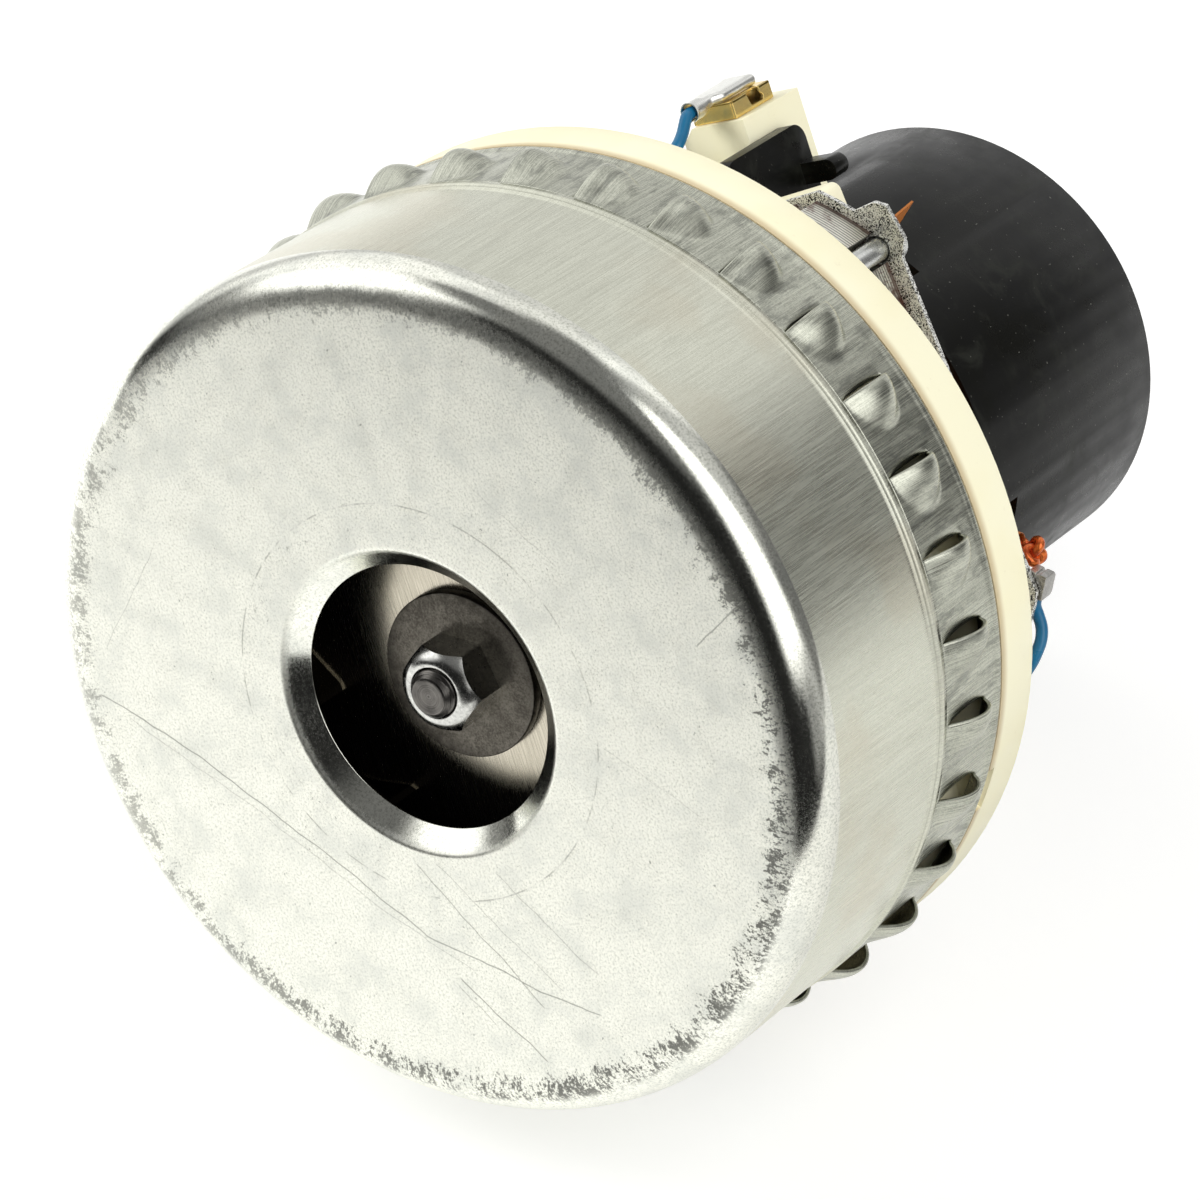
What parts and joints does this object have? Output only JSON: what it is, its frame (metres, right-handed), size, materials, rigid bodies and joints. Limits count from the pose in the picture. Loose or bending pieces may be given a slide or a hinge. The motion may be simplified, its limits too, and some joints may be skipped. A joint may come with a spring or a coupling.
{
  "type": "vacuum motor unit",
  "caption": "Two-stage fan motor for a vacuum cleaner: drawn steel fan can with a central inlet and a belt of exhaust scoops, ivory bracket, bare stack, black hood.",
  "frame": {"origin": "centre of the inlet face, on the outside of the fan can's sheet", "axes": "+Z along the shaft from the inlet face to the hood; +X through one of the two brush towers; +Y completes the right-handed frame"},
  "size_m": [0.1512, 0.1511, 0.1665],
  "materials": {
    "zinc_steel": "zinc plated",
    "fan_alloy": "rolled",
    "plain_steel": "ground",
    "dark_steel": "oiled",
    "bearing_steel": "ground",
    "ivory_moulding": "moulded",
    "lamination": "stacked and varnished",
    "galvanised": "galvanised",
    "copper_wire": "lacquered",
    "copper_bar": "turned",
    "amber_paper": "varnished",
    "resin": "moulded",
    "brass_sheet": "bright",
    "tinned_sheet": "tinned",
    "carbon": "pressed",
    "spring_steel": "drawn",
    "blue_insulation": "extruded",
    "black_moulding": "moulded",
    "fan_plastic": "moulded"
  },
  "bodies": {
    "frame": {"fan_can": "zinc_steel", "return_guide": "plain_steel", "eye_plate": "zinc_steel", "motor_bracket": "ivory_moulding", "lower_bearing_outer": "bearing_steel", "lower_bearing_balls": "bearing_steel", "upper_bearing_outer": "bearing_steel", "upper_bearing_balls": "bearing_steel", "stator_core": "lamination", "clamp_plate": "galvanised", "field_coil_a": "copper_wire", "field_coil_b": "copper_wire", "slot_papers": "amber_paper", "lead_out_a": "copper_wire", "lead_out_b": "copper_wire", "paper_tip_a": "amber_paper", "paper_tip_b": "amber_paper", "lead_splice_a": "tinned_sheet", "lead_splice_b": "tinned_sheet", "stack_bolts": "plain_steel", "tie_bolts": "plain_steel", "brush_bracket": "ivory_moulding", "brush_tube_a": "brass_sheet", "brush_tube_b": "brass_sheet", "brush_spring_a": "spring_steel", "brush_spring_b": "spring_steel", "brush_clip_a": "brass_sheet", "brush_clip_b": "brass_sheet", "receptacle_a": "tinned_sheet", "receptacle_b": "tinned_sheet", "jumper_lead_a": "blue_insulation", "jumper_lead_b": "blue_insulation", "hood": "black_moulding"},
    "rotor": {"shaft": "dark_steel", "fan_stage_one": "fan_alloy", "fan_stage_two": "fan_alloy", "shaft_nut": "plain_steel", "clamp_washers": "plain_steel", "fan_spacer": "plain_steel", "bearing_collar": "plain_steel", "lower_bearing_inner": "bearing_steel", "upper_bearing_inner": "bearing_steel", "armature_core": "lamination", "armature_winding": "copper_wire", "commutator_bars": "copper_bar", "commutator_hub": "resin", "cooling_fan": "fan_plastic"},
    "brush_a": {"brush_a": "carbon"},
    "brush_b": {"brush_b": "carbon"}
  },
  "joints": [
    {"name": "rotor_spin", "type": "hinge", "parent": "frame", "child": "rotor", "pos_m": [0, 0, 0.06], "axis": [0, 0, 1], "continuous": true},
    {"name": "brush_a_slide", "type": "slide", "parent": "frame", "child": "brush_a", "axis": [1, 0, 0], "range_m": [0, 0.006], "stiffness_N_per_m": 60, "springref_m": -0.02, "deforming": ["brush_spring_a"]},
    {"name": "brush_b_slide", "type": "slide", "parent": "frame", "child": "brush_b", "axis": [-1, 0, 0], "range_m": [0, 0.006], "stiffness_N_per_m": 60, "springref_m": -0.02, "deforming": ["brush_spring_b"]}
  ]
}
